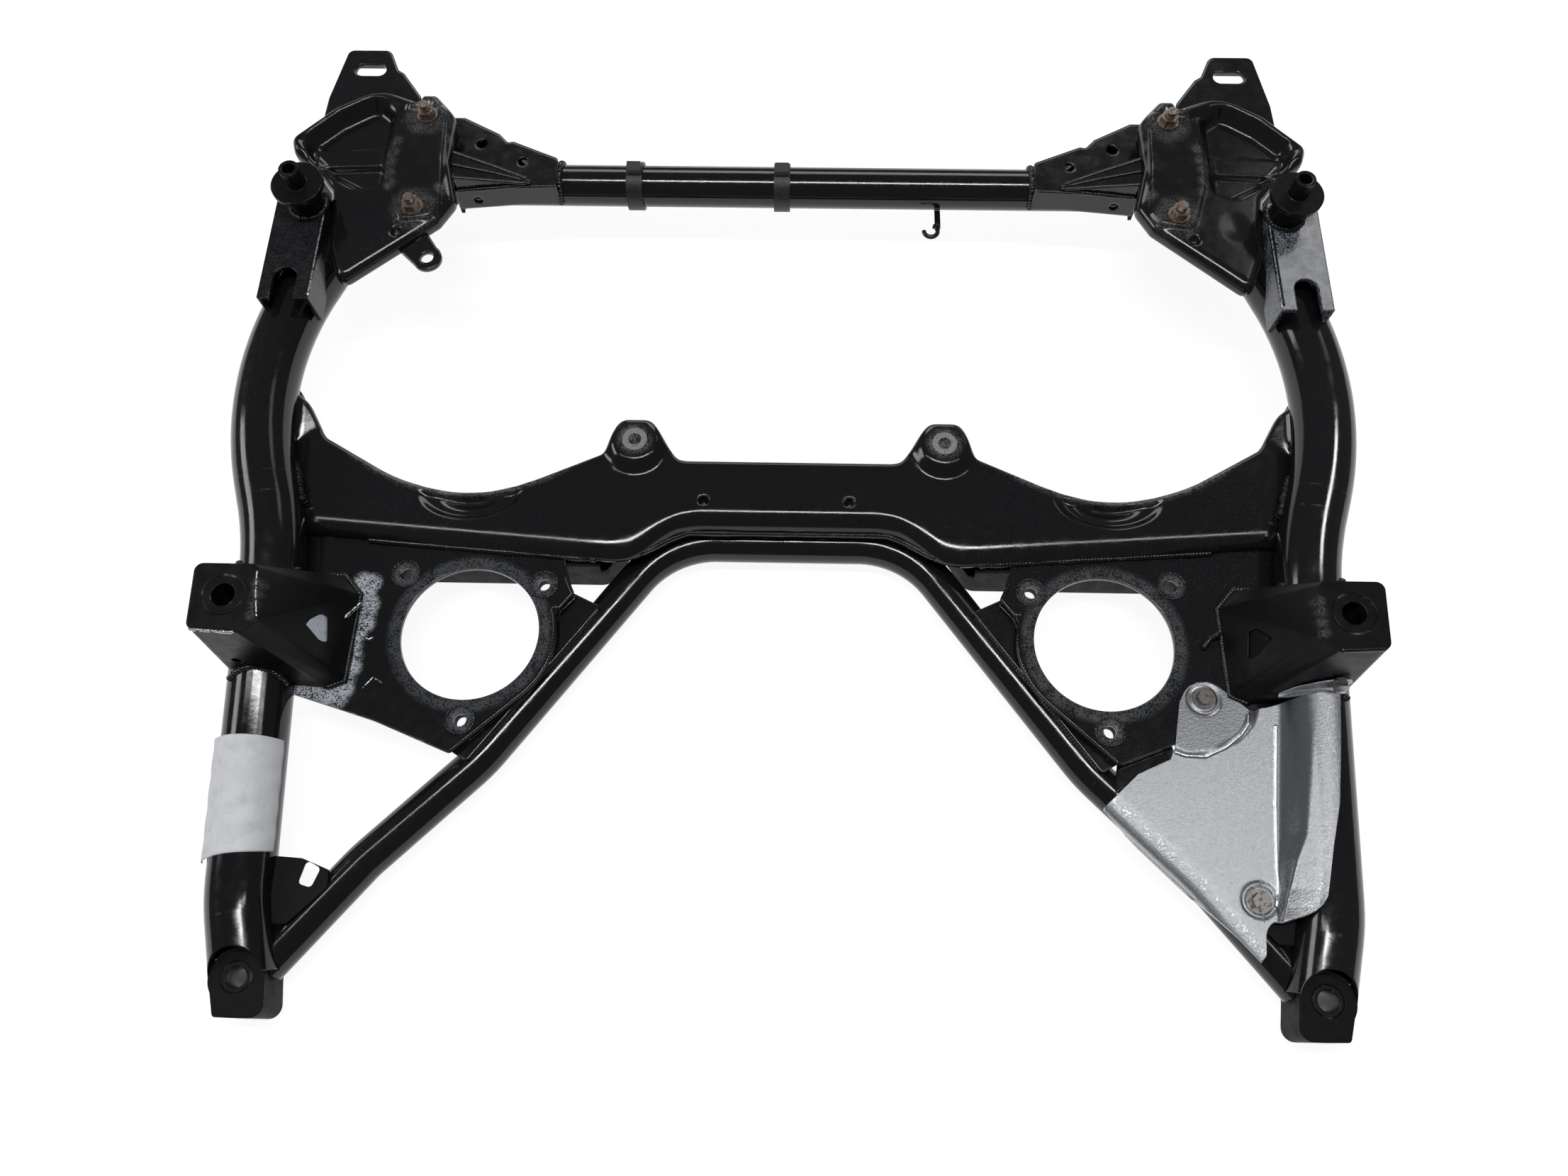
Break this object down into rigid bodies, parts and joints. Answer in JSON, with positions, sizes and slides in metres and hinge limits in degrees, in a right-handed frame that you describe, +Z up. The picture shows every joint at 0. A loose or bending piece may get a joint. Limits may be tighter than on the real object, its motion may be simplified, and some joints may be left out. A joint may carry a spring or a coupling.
{
  "type": "front axle subframe",
  "caption": "Welded front axle carrier: bent tube sides, boxed crossmember, V brace and front tube, with raised engine, arm and body mounts and a heat shield.",
  "frame": {"origin": "middle of the overall length and width, at the level the part lies on", "axes": "+X across to the vehicle's right, +Y to the vehicle's front, +Z up"},
  "size_m": [0.9048, 0.833, 0.158],
  "materials": {
    "black_paint": "glossy black dip coat, worn grey where parts were bolted on",
    "shield_sheet": "dull mottled sheet",
    "worn_steel": "dull zinc with light rust",
    "bare_steel": "bare faced end",
    "clip_plastic": "moulded black"
  },
  "bodies": {
    "root": {"left_side_rail": "black_paint", "right_side_rail": "black_paint", "crossmember_upper_shell": "black_paint", "crossmember_lower_shell": "black_paint", "rear_brace_tube": "black_paint", "front_cross_tube": "black_paint", "left_arm_plate": "black_paint", "right_arm_plate": "black_paint", "left_plate_weld_nuts": "black_paint", "right_plate_weld_nuts": "black_paint", "left_body_console": "black_paint", "right_body_console": "black_paint", "left_body_sleeve": "black_paint", "right_body_sleeve": "black_paint", "left_rear_foot": "black_paint", "right_rear_foot": "black_paint", "left_foot_sleeve": "black_paint", "right_foot_sleeve": "black_paint", "left_slot_bracket": "black_paint", "right_slot_bracket": "black_paint", "left_front_sleeve": "black_paint", "right_front_sleeve": "black_paint", "left_engine_console": "black_paint", "right_engine_console": "black_paint", "left_console_base": "black_paint", "right_console_base": "black_paint", "left_tube_gusset": "black_paint", "right_tube_gusset": "black_paint", "left_gusset_rib": "black_paint", "right_gusset_rib": "black_paint", "left_front_horn": "black_paint", "right_front_horn": "black_paint", "left_engine_studs": "worn_steel", "right_engine_studs": "worn_steel", "left_engine_nuts": "worn_steel", "right_engine_nuts": "worn_steel", "left_rack_sleeve": "bare_steel", "right_rack_sleeve": "bare_steel", "left_shield_tab": "black_paint", "right_shield_tab": "black_paint", "left_console_tab": "black_paint", "tube_hook": "black_paint", "left_tube_clip": "clip_plastic", "middle_tube_clip": "clip_plastic", "heat_shield": "shield_sheet", "heat_shield_bolts": "worn_steel"}
  },
  "joints": []
}
